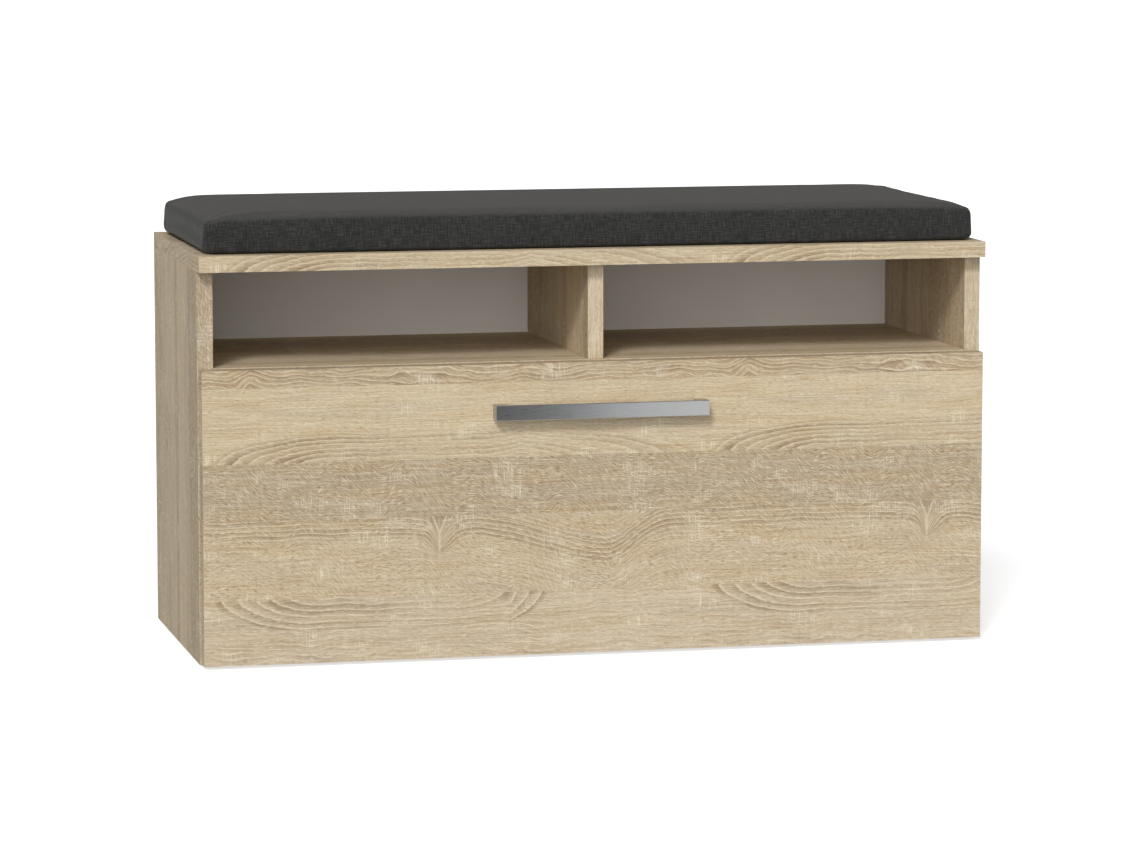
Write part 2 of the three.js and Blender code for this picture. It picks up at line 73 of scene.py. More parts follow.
def add(tree, kind, *feeds, **settings):
    """Adds one node and gives its first output in use.

    kind is the node's type, with its operation after a dot. Feeds go to its sockets in order: an output, a
    number, a tuple or a hex colour, and None leaves a socket alone. Settings are the node's own properties,
    sockets by name, or a colour ramp's stops.
    """
    kind, _, operation = kind.partition(".")
    made = tree.nodes.new(kind if "Node" in kind else "ShaderNode" + kind)
    if operation:
        made.operation = operation
    named = []
    for name, value in settings.items():
        if name == "stops":
            while len(made.color_ramp.elements) < len(value):
                made.color_ramp.elements.new(1.0)
            for element, (place, colour) in zip(made.color_ramp.elements, value):
                element.position = place
                element.color = linear(colour) if isinstance(colour, str) else (colour, colour, colour, 1.0)
        elif name in made.inputs:
            named.append((made.inputs[name], value))
        else:
            setattr(made, name, value)
    in_use = [s for s in made.inputs if s.enabled]
    for socket, feed in [*zip(in_use, feeds), *named]:
        if isinstance(feed, bpy.types.NodeSocket):
            tree.links.new(feed, socket)
        elif isinstance(feed, str) and feed.startswith("#"):
            socket.default_value = linear(feed)
        elif feed is not None:
            socket.default_value = feed
    return next((s for s in made.outputs if s.enabled), None)


def finish_of(name, **shader):
    """A new material with a Principled shader: its tree, and the shader node whose sockets are still open."""
    made = bpy.data.materials.new(name)
    made.use_nodes = True
    tree = made.node_tree
    tree.nodes.clear()
    surface = add(tree, "BsdfPrincipled", **shader)
    add(tree, "OutputMaterial", surface)
    return made, tree, surface.node


def link(tree, output, socket):
    tree.links.new(output, socket)


# ------------------------------------------------------------------------------ oak decor laminate


def beyond(tree, along, first, last, left, right):
    """How far a point lies outside a stretch of the grain, counted in the widths given for each side."""
    before = add(tree, "Math.MULTIPLY_ADD", along, -1 / left, first / left)
    after = add(tree, "Math.MULTIPLY_ADD", along, 1 / right, -last / right)
    farther = add(tree, "Math.MAXIMUM", before, after)
    return add(tree, "Math.MAXIMUM", farther, 0.0)


def swell(tree, along, first, last, left, right, power, rise):
    """A bend in the growth rings that is highest over a stretch and dies away on both sides."""
    away = add(tree, "Math.POWER", beyond(tree, along, first, last, left, right), power)
    share = add(tree, "Math.EXPONENT", add(tree, "Math.MULTIPLY", away, -1.0))
    return add(tree, "Math.MULTIPLY", share, rise)


def nest(tree, along, across, stretch, ends, middle, height):
    """Growth rings nested as flat-sawn oak shows them: straight over a stretch and rounded off at both ends.

    It is 1 on the outermost ring and falls to 0 at the heart.
    """
    ending = add(tree, "Math.MINIMUM", beyond(tree, along, *stretch, *ends), 1.08)
    level = add(tree, "Math.MULTIPLY_ADD", across, 1 / height, -middle / height)
    return add(tree, "VectorMath.LENGTH", add(tree, "CombineXYZ", ending, level, 0.0))


def oak_decor():
    """The printed oak picture, from millimetres along and across the grain to its colour and its pores."""
    tree = bpy.data.node_groups.new("oak_decor", "ShaderNodeTree")
    for name in ("Along", "Across"):
        tree.interface.new_socket(name=name, in_out="INPUT", socket_type="NodeSocketFloat")
    tree.interface.new_socket(name="Colour", in_out="OUTPUT", socket_type="NodeSocketColor")
    tree.interface.new_socket(name="Pores", in_out="OUTPUT", socket_type="NodeSocketFloat")
    given = add(tree, "NodeGroupInput").node
    along, across = given.outputs["Along"], given.outputs["Across"]

    # The place within one repeat, and which of the five planks it is on.
    u = add(tree, "Math.WRAP", along, REPEAT, 0.0)
    v = add(tree, "Math.WRAP", across, SHEET, 0.0)
    past = [add(tree, "Math.GREATER_THAN", v, edge) for edge in PLANK_EDGES]
    plank = past[0]
    for step in past[1:]:
        plank = add(tree, "Math.ADD", plank, step)

    # Noise read round a circle comes back without a seam after one repeat.
    turn = add(tree, "Math.MULTIPLY", u, 2 * math.pi / REPEAT)
    girth = REPEAT / (2 * math.pi)
    round_x = add(tree, "Math.MULTIPLY", add(tree, "Math.COSINE", turn), girth)
    round_y = add(tree, "Math.MULTIPLY", add(tree, "Math.SINE", turn), girth)
    own_board = add(tree, "Math.MULTIPLY_ADD", plank, 210.0, v)
    looped = add(tree, "CombineXYZ", round_x, round_y, own_board)
    laid = add(tree, "CombineXYZ", along, across, add(tree, "Math.MULTIPLY", plank, 37.0))

    def grainy(place, length, width, detail=2.0, seed=0.0, roughness=0.5):
        """Noise of a given size in millimetres along and across the grain."""
        long_side = 1 / length
        across_side = (1 / length, 1 / width, 1.0) if place is laid else (long_side, long_side, 1 / width)
        scaled = add(tree, "VectorMath.MULTIPLY_ADD", place, across_side, (seed, seed * 1.7, seed * 0.6))
        return add(tree, "TexNoise", scaled, Scale=1.0, Detail=detail, Roughness=roughness)

    wave = add(tree, "Math.SUBTRACT", grainy(looped, 75, 45), 0.5)
    wavy = add(tree, "Math.MULTIPLY_ADD", wave, 9.0, v)

    # The narrow top plank: dark wavy bands with one small peak.
    restless = add(tree, "Math.MULTIPLY_ADD", wave, 34.0, v)
    narrow = add(tree, "Math.ADD", restless, swell(tree, u, PEAK, PEAK, 12, 16, 1.4, 9.0))

    # The second plank: a mound of rings along its lower edge.
    kinked = add(tree, "Math.ADD", wavy, swell(tree, u, KINK, KINK, 15, 20, 1.0, 7.0))
    mound = nest(tree, u, kinked, (140, KINK), (135, 209), 110, 38)

    # The fourth plank: rings that dip into a sharp knot, then into a shallow bowl.
    dip = add(
        tree, "Math.MULTIPLY",
        swell(tree, u, KNOT, KNOT, 6, 10, 1.0, 44.0),
        add(tree, "MapRange", v, 196.0, 222.0, 1.0, 0.0, interpolation_type="SMOOTHSTEP"),
    )
    hollow = swell(tree, u, 455, 455, 95, 42, 2.0, 36.0)
    sunk = add(tree, "Math.SUBTRACT", add(tree, "Math.SUBTRACT", wavy, dip), hollow)
    depth = add(tree, "Math.SUBTRACT", sunk, PLANK_EDGES[2])
    knot = add(
        tree, "Math.MULTIPLY",
        add(tree, "MapRange", dip, 3.0, 10.0, 0.0, 1.0),
        add(tree, "MapRange", depth, -4.0, 1.0, 1.0, 0.0),
    )
    in_fourth = add(tree, "Math.SUBTRACT", past[2], past[3])
    inside_knot = add(tree, "Math.MULTIPLY", knot, in_fourth)
    scorched = add(tree, "Math.MULTIPLY", inside_knot, add(tree, "MapRange", v, 172.0, 192.0, 1.0, 0.0))

    # A pale fork runs down the middle of the knot.
    aside = add(tree, "Math.ABSOLUTE", add(tree, "Math.SUBTRACT", u, KNOT))
    spread = add(tree, "Math.MAXIMUM", add(tree, "Math.MULTIPLY_ADD", v, -0.42, 0.42 * 187.0), 0.0)
    off_prong = add(tree, "Math.ABSOLUTE", add(tree, "Math.SUBTRACT", aside, spread))
    prong = add(tree, "MapRange", off_prong, 0.5, 1.9, 1.0, 0.0)
    fork = add(
        tree, "Math.MULTIPLY",
        add(tree, "Math.MULTIPLY", prong, in_fourth), add(tree, "MapRange", v, 202.0, 217.0, 1.0, 0.0),
    )
    dimmed = add(
        tree, "Math.MULTIPLY",
        add(tree, "MapRange", depth, 16.0, 34.0, 1.0, 0.1, interpolation_type="SMOOTHSTEP"),
        add(tree, "MapRange", depth, -16.0, 0.0, 0.3, 1.0, interpolation_type="SMOOTHSTEP"),
    )

    # The fifth plank: rings that hang from its upper edge and close in a pointed leaf.
    leaf = add(tree, "Math.SUBTRACT", wavy, swell(tree, u, LEAF, LEAF, 12, 16, 1.0, 7.0))
    bowl = nest(tree, u, leaf, (130, 290), (120, 100), 250, 42)

    def by_plank(first, *others):
        """Picks the value of the plank that the point is on."""
        value = first
        for step, other in zip(past, others):
            value = add(tree, "Mix", step, value, other)
        return value

    # Growth rings, counted from the heart of each nest or from the plank's own edge.
    under_bowl = add(tree, "Math.GREATER_THAN", bowl, 1.0)
    hanging = add(
        tree, "Mix", under_bowl,
        add(tree, "Math.MULTIPLY", bowl, 6.6), add(tree, "Math.DIVIDE", restless, 6.4),
    )
    field = by_plank(
        add(tree, "Math.DIVIDE", narrow, 5.0), add(tree, "Math.MULTIPLY", mound, 7.6), 0.5,
        add(tree, "Math.DIVIDE", depth, 5.2), hanging,
    )
    bold = add(tree, "MapRange", beyond(tree, u, 20, 125, 70, 100), 0.0, 1.0, 1.0, 0.5)
    bold_leaf = add(tree, "Math.MAXIMUM", bold, swell(tree, u, LEAF, 378, 15, 12, 2.0, 1.0))
    strength = by_plank(
        0.9,
        add(tree, "Math.MULTIPLY", bold, add(tree, "MapRange", mound, 0.9, 1.04, 1.0, 0.0)),
        0.0,
        add(tree, "Math.MULTIPLY", add(tree, "Math.SUBTRACT", dimmed, inside_knot, use_clamp=True), 0.85),
        add(tree, "Math.MULTIPLY", bold_leaf, add(tree, "MapRange", bowl, 0.92, 1.04, 1.0, 0.5)),
    )
    ragged = add(tree, "Math.SUBTRACT", grainy(laid, 14, 2.0, 3.0, 3.0), 0.5)
    torn = add(tree, "Math.MULTIPLY_ADD", ragged, 0.34, field)
    share = add(tree, "Math.FRACT", torn)
    own_ring = add(tree, "TexWhiteNoise", add(tree, "Math.FLOOR", torn), noise_dimensions="1D")
    late_stops = [(0.0, 0.0), (0.1, 0.1), (0.22, 1.0), (0.6, 0.6), (1.0, 0.1)]
    light_stops = [(0.0, 0.8), (0.08, 1.0), (0.17, 0.0), (0.9, 0.0), (1.0, 0.7)]
    late_wood = add(tree, "ValToRGB", share, stops=late_stops)
    light_line = add(tree, "ValToRGB", share, stops=light_stops)
    faded = add(tree, "MapRange", grainy(looped, 34, 16, 2.0, 44.0), 0.34, 0.56, 0.55, 1.0)
    uneven = add(tree, "Math.MULTIPLY", add(tree, "Math.MULTIPLY_ADD", own_ring, 0.5, 0.5), faded)
    rings = add(tree, "Math.MULTIPLY", add(tree, "Math.MULTIPLY", late_wood, strength), uneven)
    lines = add(tree, "Math.MULTIPLY", light_line, strength)

    # Fibres: long fine streaks, and short pores that slant and curl away from them.
    fibre = by_plank(narrow, wavy, wavy, depth, wavy)
    streaks = add(tree, "CombineXYZ", along, fibre, add(tree, "Math.MULTIPLY", plank, 37.0))
    lean = add(tree, "Math.SUBTRACT", grainy(looped, 70, 400, 1.0, 90.0), 0.5)
    curl = add(tree, "Math.SUBTRACT", grainy(laid, 24, 14, 2.0, 7.0), 0.5)
    wander = add(tree, "Math.MULTIPLY_ADD", lean, 80.0, add(tree, "Math.MULTIPLY", curl, 7.0))
    slanting = add(tree, "Math.MULTIPLY_ADD", along, -0.4, wander)
    drift = add(tree, "Math.MULTIPLY", slanting, by_plank(0.3, 0.25, 1.0, 0.8, 0.2))
    curled = add(tree, "VectorMath.ADD", streaks, add(tree, "CombineXYZ", 0.0, drift, 0.0))

    def drawn(place, length, width, detail, seed):
        scaled = add(tree, "VectorMath.MULTIPLY_ADD", place, (1 / length, 1 / width, 1.0), (seed, 0.0, seed))
        return add(tree, "TexNoise", scaled, Scale=1.0, Detail=detail, Roughness=0.6)

    fine = drawn(streaks, 70.0, 1.5, 3.0, 5.0)
    light_fibre = add(tree, "MapRange", fine, 0.5, 0.7)
    dark_fibre = add(tree, "MapRange", fine, 0.48, 0.28)
    pores = add(tree, "MapRange", drawn(curled, 6.0, 1.0, 2.0, 0.0), 0.53, 0.64)
    chalk = add(tree, "MapRange", drawn(curled, 9.0, 1.3, 2.0, 50.0), 0.53, 0.68)

    # Saw marks: pale hatching across and along the grain, in small patches.
    cross_marks = add(tree, "MapRange", grainy(laid, 1.3, 22, 1.0, 20.0), 0.5, 0.66)
    long_marks = add(tree, "MapRange", grainy(laid, 22, 1.3, 1.0, 25.0), 0.54, 0.7)
    marks = add(tree, "Math.MAXIMUM", cross_marks, long_marks)
    patchy = grainy(looped, 42, 26, 2.0, 11.0)
    patches = add(tree, "MapRange", patchy, 0.56, 0.7, interpolation_type="SMOOTHSTEP")
    hatch = add(tree, "Math.MULTIPLY", marks, patches)

    # Tones: each plank's own, with brown and grey clouds.
    own_tone = add(
        tree, "ValToRGB", add(tree, "Math.DIVIDE", plank, 5.0), stops=[
            (0.0, "#c5b192"), (0.1, "#ccba9b"), (0.3, "#b09e83"), (0.5, "#c6b395"), (0.7, "#ccbba0")
        ],
    )
    own_tone.node.color_ramp.interpolation = "CONSTANT"
    warm = add(tree, "MapRange", grainy(looped, 120, 13, 3.0, 30.0), 0.46, 0.7, 0.0, 0.5)
    grey = add(tree, "MapRange", grainy(looped, 150, 20, 3.0, 60.0), 0.48, 0.7, 0.0, 0.3)
    colour = own_tone
    for amount, tint in (
        (warm, "#bb9f76"),
        (grey, "#ada08e"),
        (add(tree, "Math.MULTIPLY", dark_fibre, 0.44), "#957c5b"),
        (add(tree, "Math.MULTIPLY", light_fibre, 0.42), "#e6dabf"),
        (add(tree, "Math.MULTIPLY", rings, 0.8), "#7c6144"),
        (add(tree, "Math.MULTIPLY", lines, 0.5), "#e0d0b0"),
        (add(tree, "Math.MULTIPLY", scorched, 0.6), "#7d6346"),
        (add(tree, "Math.MULTIPLY", fork, 0.6), "#e0d0b0"),
        (add(tree, "Math.MULTIPLY", pores, by_plank(0.4, 0.34, 0.78, 0.6, 0.34)), "#7d664a"),
        (add(tree, "Math.MULTIPLY", chalk, by_plank(0.35, 0.36, 0.55, 0.5, 0.4)), "#eae0c9"),
        (add(tree, "Math.MULTIPLY", hatch, 0.5), "#ebe3cd"),
    ):
        colour = add(tree, "Mix", amount, colour, tint, data_type="RGBA")
    add(tree, "NodeGroupOutput", colour, pores)
    return tree


OAK_DECOR = oak_decor()


def laminate(name, grain, start, raw_back=True):
    """Light oak decor laminate on chipboard: matt, with a faint pressed pore and pale printed grain.

    grain is the axis along which the printed grain runs, and start is where on the printed sheet, in
    millimetres along and across, the object's zero lies.
    """
    made, tree, shader = finish_of(name, Roughness=0.72, IOR=1.5)
    shader.inputs["Specular IOR Level"].default_value = 0.22
    cross = "Z" if grain == "X" else "X"
    place = add(tree, "TexCoord").node
    spot = add(tree, "SeparateXYZ", add(tree, "VectorMath.SCALE", place.outputs["Object"], Scale=1000.0)).node
    facing = add(tree, "SeparateXYZ", place.outputs["Normal"]).node
    turned = {
        axis: add(tree, "Math.GREATER_THAN", add(tree, "Math.ABSOLUTE", facing.outputs[axis]), 0.7)
        for axis in (grain, cross)
    }
    on_grain = add(tree, "Mix", turned[grain], spot.outputs[grain], spot.outputs["Y"])
    on_cross = add(tree, "Mix", turned[cross], spot.outputs[cross], spot.outputs["Y"])
    along = add(tree, "Math.ADD", on_grain, start[0])
    across = add(tree, "Math.SUBTRACT", start[1], on_cross)
    picture = tree.nodes.new("ShaderNodeGroup")
    picture.node_tree = OAK_DECOR
    link(tree, along, picture.inputs["Along"])
    link(tree, across, picture.inputs["Across"])
    colour = picture.outputs["Colour"]
    if raw_back:
        # Edges that face the wall are left without banding, so the pressed chips show.
        chips = add(tree, "TexVoronoi", place.outputs["Object"], Scale=420.0, Randomness=1.0)
        tone = add(tree, "ValToRGB", chips.node.outputs["Color"], stops=[(0.2, "#a98758"), (0.8, "#cfb180")])
        rearward = add(tree, "Math.GREATER_THAN", facing.outputs["Y"], 0.7)
        colour = add(tree, "Mix", rearward, colour, tone, data_type="RGBA")
    link(tree, colour, shader.inputs["Base Color"])
    dents = add(tree, "Math.MULTIPLY", picture.outputs["Pores"], -1.0)
    bump = add(tree, "Bump", Strength=0.35, Distance=0.00012, Height=dents)
    link(tree, bump, shader.inputs["Normal"])
    return made


# ------------------------------------------------------------------------------------ other finishes


def lacquered_hardboard():
    """Thin hardboard: pale lacquer inside, even and slightly rippled, and raw brown fibre on the back."""
    made, tree, shader = finish_of("lacquered_hardboard", Roughness=0.5, IOR=1.5)
    place = add(tree, "TexCoord").node
    facing = add(tree, "SeparateXYZ", place.outputs["Normal"]).node
    rearward = add(tree, "Math.GREATER_THAN", facing.outputs["Y"], 0.5)
    fibre = add(tree, "TexNoise", place.outputs["Object"], Scale=700.0, Detail=4.0, Roughness=0.7)
    raw = add(tree, "ValToRGB", fibre, stops=[(0.3, "#6f4f33"), (0.7, "#a27d57")])
    cloud = add(tree, "TexNoise", place.outputs["Object"], Scale=6.0, Detail=3.0)
    lacquer = add(tree, "ValToRGB", cloud, stops=[(0.3, "#dedad4"), (0.7, "#e5e2dc")])
    link(tree, add(tree, "Mix", rearward, lacquer, raw, data_type="RGBA"), shader.inputs["Base Color"])
    ripple = add(tree, "TexNoise", place.outputs["Object"], Scale=450.0, Detail=2.0)
    link(tree, add(tree, "Bump", Strength=0.25, Distance=0.0001, Height=ripple), shader.inputs["Normal"])
    return made


def white_melamine():
    """White melamine chipboard of the drawer box: fine pearl texture with a soft gloss."""
    made, tree, shader = finish_of("white_melamine", Roughness=0.42, IOR=1.5)
    place = add(tree, "TexCoord").node.outputs["Object"]
    cloud = add(tree, "TexNoise", place, Scale=9.0, Detail=3.0)
    tone = add(tree, "ValToRGB", cloud, stops=[(0.3, "#dfddd7"), (0.7, "#e8e6e1")])
    link(tree, tone, shader.inputs["Base Color"])
    pearl = add(tree, "TexNoise", place, Scale=900.0, Detail=1.0)
    link(tree, add(tree, "Bump", Strength=0.3, Distance=0.00008, Height=pearl), shader.inputs["Normal"])
    return made


def brushed_metal(name, dark, light, roughness, stretch, anisotropy=0.0):
    """Steel with fine lines along the piece, each line a little darker or lighter than the next."""
    made, tree, shader = finish_of(name, Metallic=1.0, Roughness=roughness, Anisotropic=anisotropy)
    place = add(tree, "VectorMath.MULTIPLY", add(tree, "TexCoord").node.outputs["Object"], stretch)
    lines = add(tree, "TexNoise", place, Scale=1.0, Detail=3.0, Roughness=0.6)
    tone = add(tree, "ValToRGB", lines, stops=[(0.3, dark), (0.7, light)])
    link(tree, tone, shader.inputs["Base Color"])
    gloss = add(tree, "MapRange", lines, 0.3, 0.7, roughness - 0.05, roughness + 0.07)
    link(tree, gloss, shader.inputs["Roughness"])
    link(tree, add(tree, "Bump", Strength=0.15, Distance=0.00003, Height=lines), shader.inputs["Normal"])
    return made


def moulded(name, tint_low, tint_high, roughness, ior, grit, depth):
    """A moulded or coated skin: nearly even colour over a fine pebbled surface."""
    made, tree, shader = finish_of(name, Roughness=roughness, IOR=ior)
    place = add(tree, "TexCoord").node.outputs["Object"]
    cloud = add(tree, "TexNoise", place, Scale=40.0, Detail=3.0)
    tone = add(tree, "ValToRGB", cloud, stops=[(0.3, tint_low), (0.7, tint_high)])
    link(tree, tone, shader.inputs["Base Color"])
    pebble = add(tree, "TexNoise", place, Scale=1000.0 / grit, Detail=1.0)
    link(tree, add(tree, "Bump", Strength=0.3, Distance=depth, Height=pebble), shader.inputs["Normal"])
    return made


def beech():
    """Bare beech of the dowels: pale pink-brown with short dark flecks."""
    made, tree, shader = finish_of("beech", Roughness=0.6, IOR=1.5)
    place = add(tree, "TexCoord").node.outputs["Object"]
    drawn_out = add(tree, "VectorMath.MULTIPLY", place, (1200.0, 1200.0, 160.0))
    flecks = add(tree, "TexNoise", drawn_out, Scale=1.0)
    tone = add(tree, "ValToRGB", flecks, stops=[(0.35, "#b98c5c"), (0.6, "#d9b487")])
    link(tree, tone, shader.inputs["Base Color"])
    return made


def woven_melange():
    """Charcoal melange upholstery: uneven yarns woven over and under, with the upward faces painted paler as
    a painted sheen.

    The yarns are about 0.6 mm thick on the real cloth, drawn here at 1.3 mm so that they show.
    """
    made, tree, shader = finish_of("woven_melange", Roughness=0.95, IOR=1.45)
    shader.inputs["Specular IOR Level"].default_value = 0.2
    shader.inputs["Sheen Weight"].default_value = 0.15
    shader.inputs["Sheen Roughness"].default_value = 0.45
    shader.inputs["Sheen Tint"].default_value = linear("#c9c7c2")
    place = add(tree, "TexCoord").node
    spot = add(tree, "SeparateXYZ", add(tree, "VectorMath.SCALE", place.outputs["Object"], Scale=1000.0)).node
    facing = add(tree, "SeparateXYZ", place.outputs["Normal"]).node
    endward = add(tree, "Math.GREATER_THAN", add(tree, "Math.ABSOLUTE", facing.outputs["X"]), 0.75)
    sideways = add(tree, "Mix", endward, spot.outputs["X"], spot.outputs["Y"])
    inward = add(tree, "Mix", endward, spot.outputs["Y"], spot.outputs["X"])
    over_edge = add(tree, "Math.SUBTRACT", add(tree, "Math.ABSOLUTE", inward), spot.outputs["Z"])
    cloth = add(tree, "CombineXYZ", sideways, over_edge, 0.0)

    def yarns(size, seed):
        fineness = (1 / size[0], 1 / size[1], 1.0)
        scaled = add(tree, "VectorMath.MULTIPLY_ADD", cloth, fineness, (seed, seed, seed))
        return add(tree, "TexNoise", scaled, Scale=1.0, Detail=2.0, Roughness=0.6)

    upright = yarns((1.3, 13.0), 0.0)
    level = yarns((13.0, 1.3), 40.0)
    mix = add(tree, "Math.MULTIPLY", upright, level)
    cloud = yarns((60.0, 60.0), 80.0)
    blend = add(tree, "Math.MULTIPLY_ADD", cloud, 0.12, mix)
    tone = add(tree, "ValToRGB", blend, stops=[(0.2, "#272727"), (0.31, "#313130"), (0.42, "#3f3f3e")])
    # The nap lies flat on the seat and shows its pale side there.
    # Painted sheen: the upward faces are painted paler, standing in for light falling on the seat from above.
    painted_top_sheen = add(tree, "MapRange", facing.outputs["Z"], 0.4, 0.95, 0.0, 0.35)
    link(tree, add(tree, "Mix", painted_top_sheen, tone, "#62605c", data_type="RGBA"), shader.inputs["Base Color"])
    beat = 2 * math.pi / 2.6
    over = add(tree, "Math.SINE", add(tree, "Math.MULTIPLY", sideways, beat))
    under = add(tree, "Math.SINE", add(tree, "Math.MULTIPLY", over_edge, beat))
    crossing = add(tree, "Math.MULTIPLY", over, under)
    height = add(tree, "Math.MULTIPLY_ADD", crossing, 0.3, mix)
    link(tree, add(tree, "Bump", Strength=0.6, Distance=0.0004, Height=height), shader.inputs["Normal"])
    return made


def hook_tape():
    """Black hook-and-loop tape: a dense matt pile."""
    made, tree, shader = finish_of("hook_tape", Roughness=0.95, IOR=1.5)
    place = add(tree, "TexCoord").node.outputs["Object"]
    loops = add(tree, "TexVoronoi", place, Scale=1400.0)
    tone = add(tree, "ValToRGB", loops, stops=[(0.1, "#2a2a2c"), (0.7, "#111112")])
    link(tree, tone, shader.inputs["Base Color"])
    link(tree, add(tree, "Bump", Strength=0.8, Distance=0.0004, Height=loops), shader.inputs["Normal"])
    return made


# ------------------------------------------------------------------------------------- CAD nodes


def welded():
    """Geometry nodes that join a board's triangles and shade only its real edges sharp."""
    tree = bpy.data.node_groups.new("welded", "GeometryNodeTree")
    tree.interface.new_socket(name="Geometry", in_out="INPUT", socket_type="NodeSocketGeometry")
    tree.interface.new_socket(name="Geometry", in_out="OUTPUT", socket_type="NodeSocketGeometry")
    joined = add(tree, "GeometryNodeMergeByDistance", add(tree, "NodeGroupInput"), Distance=0.00001)
    plain = add(tree, "GeometryNodeRemoveAttribute", joined, Name="custom_normal")
    smooth = add(tree, "GeometryNodeSetShadeSmooth", plain, domain="FACE")
    corner = add(tree, "GeometryNodeInputMeshEdgeAngle")
    sharp = add(
        tree, "FunctionNodeCompare", corner, math.radians(35), operation="GREATER_THAN", data_type="FLOAT",
    )
    shaded = add(tree, "GeometryNodeSetShadeSmooth", smooth, sharp, domain="EDGE")
    shaded.node.inputs["Shade Smooth"].default_value = False
    add(tree, "NodeGroupOutput", shaded)
    return tree


WELDED = welded()
BOARD_EDGE = 0.5 * MM  # the edge banding is eased by this much
THIN_EDGE = 0.4 * MM  # and thin sheets, box boards and the handle by this


def dress(node, finish, edge=0.0):
    """Gives a CAD node its finish, joins its triangles, and eases its edges by a real radius."""
    piece = nodes[node]
    piece.data.materials.clear()
    piece.data.materials.append(finish)
    piece.modifiers.new("welded", "NODES").node_group = WELDED
    if edge:
        flat = piece.modifiers.new("flat_faces", "DECIMATE")
        flat.decimate_type = "DISSOLVE"
        flat.angle_limit = math.radians(1)
        eased = piece.modifiers.new("eased_edges", "BEVEL")
        eased.width = edge
        eased.segments = 2
        eased.limit_method = "ANGLE"
        eased.angle_limit = math.radians(50)
        eased.harden_normals = True


def dress_all():
    front_low, front_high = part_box("drawer_front")
    zero = (-front_low.x / MM, front_high.z / MM)
    dress("drawer_front", laminate("oak_laminate_drawer_front", "X", zero, raw_back=False), BOARD_EDGE)
    slab_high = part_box("top_slab")[1]
    dress("top_slab", laminate("oak_laminate_slab", "X", (435.0, slab_high.z / MM + 84.0)), BOARD_EDGE)
    dress("shelf_panel", laminate("oak_laminate_shelf", "X", (300.0, 230.0)), BOARD_EDGE)
    dress("bottom_panel", laminate("oak_laminate_bottom", "X", (60.0, 120.0)), BOARD_EDGE)
    dress("left_side", laminate("oak_laminate_left_side", "Z", (120.0, 23.0)), BOARD_EDGE)
    dress("right_side", laminate("oak_laminate_right_side", "Z", (340.0, 422.0)), BOARD_EDGE)
    dress("centre_divider", laminate("oak_laminate_divider", "Z", (40.0, 309.0)), BOARD_EDGE)
    finishes = {
        "white_hardboard": lacquered_hardboard(),
        "white_board": white_melamine(),
        "beech": beech(),
        "satin_steel": brushed_metal(
            "satin_nickel_steel", "#a8aaac", "#b4b6b8", 0.3, (60.0, 4000.0, 4000.0), 0.3,
        ),
        "zinc_steel": brushed_metal("zinc_plated_steel", "#9fa3a8", "#c4c7cb", 0.36, (500.0, 500.0, 500.0)),
        "coated_steel": moulded("epoxy_coated_steel", "#d9d8d2", "#e2e1dc", 0.38, 1.5, 1.2, 0.00008),
        "nylon": moulded("moulded_nylon", "#dedbd0", "#e8e5dc", 0.4, 1.53, 0.6, 0.00003),
        "clear_rubber": moulded("clear_rubber", "#c3c7c7", "#d2d5d5", 0.35, 1.5, 0.8, 0.00004),
        "hook_tape": hook_tape(),
    }
    for name, piece in nodes.items():
        slot = piece.data.materials[0].name
        if slot in finishes:
            flat_piece = slot in ("white_hardboard", "white_board", "satin_steel")
            dress(name, finishes[slot], THIN_EDGE if flat_piece else 0.0)


# ---------------------------------------------------------------------------------- seat cushion


CUSHION_CORNER = 13 * MM
CUSHION_RIM = 8 * MM
CUSHION_SLACK = 3 * MM  # how much lower the cover starts, and the most that the filling moves it
CLOTH_CELL = 5 * MM
END_DROP = 5 * MM
TOP_RISE = 2 * MM
HELD_HEIGHT = 4 * MM  # the cover is held up to this height above its underside
FILLING_STEPS = 20


def foam_block(low, high, corner, edge):
    """A block with upright corners rounded by one radius and all rims by a smaller one."""
    shape = bmesh.new()
    bmesh.ops.create_cube(shape, size=1.0)
    for vertex in shape.verts:
        vertex.co = Vector(high[i] if vertex.co[i] > 0 else low[i] for i in range(3))
    upright = [e for e in shape.edges if abs(e.verts[0].co.z - e.verts[1].co.z) > 1e-4]
    bmesh.ops.bevel(shape, geom=upright, offset=corner, segments=8, affect="EDGES", profile=0.5)
    rims = [
        e for e in shape.edges
        if abs(e.verts[0].co.z - e.verts[1].co.z) < 1e-6 and len(e.link_faces) == 2
        and abs(e.link_faces[0].normal.z) + abs(e.link_faces[1].normal.z) > 0.9
        and abs(e.link_faces[0].normal.z * e.link_faces[1].normal.z) < 0.1
    ]
    bmesh.ops.bevel(shape, geom=rims, offset=edge, segments=6, affect="EDGES", profile=0.5)
    mesh = bpy.data.meshes.new("foam_block")
    shape.to_mesh(mesh)
    shape.free()
    return mesh


def as_it_stands(piece):
    """The piece's mesh with its modifiers worked in."""
    return bpy.data.meshes.new_from_object(piece.evaluated_get(bpy.context.evaluated_depsgraph_get()))


def bake_modifiers(piece):
    """Puts the modifiers' result in the piece itself."""
    mesh = as_it_stands(piece)
    piece.modifiers.clear()
    piece.data = mesh


def places_of(mesh):
    found = np.empty(len(mesh.vertices) * 3)
    mesh.vertices.foreach_get("co", found)
    return found.reshape(-1, 3)


def crown(cushion, end_drop, rise):
    """Domes the top a little, and lets it fall away towards the two short ends."""
    points = places_of(cushion.data)
    low, high = points.min(axis=0), points.max(axis=0)
    middle, half = (low + high) / 2, (high - low) / 2
    along = np.abs((points[:, 0] - middle[0]) / half[0])
    across = np.abs((points[:, 1] - middle[1]) / half[1])
    lowered = end_drop * along**16 + rise * across**2
    above = points[:, 2] > middle[2]
    share = (points[:, 2] - middle[2]) / half[2]
    points[:, 2] -= np.where(above, share * lowered, 0.0)
    cushion.data.vertices.foreach_set("co", points.ravel())
    cushion.data.update()


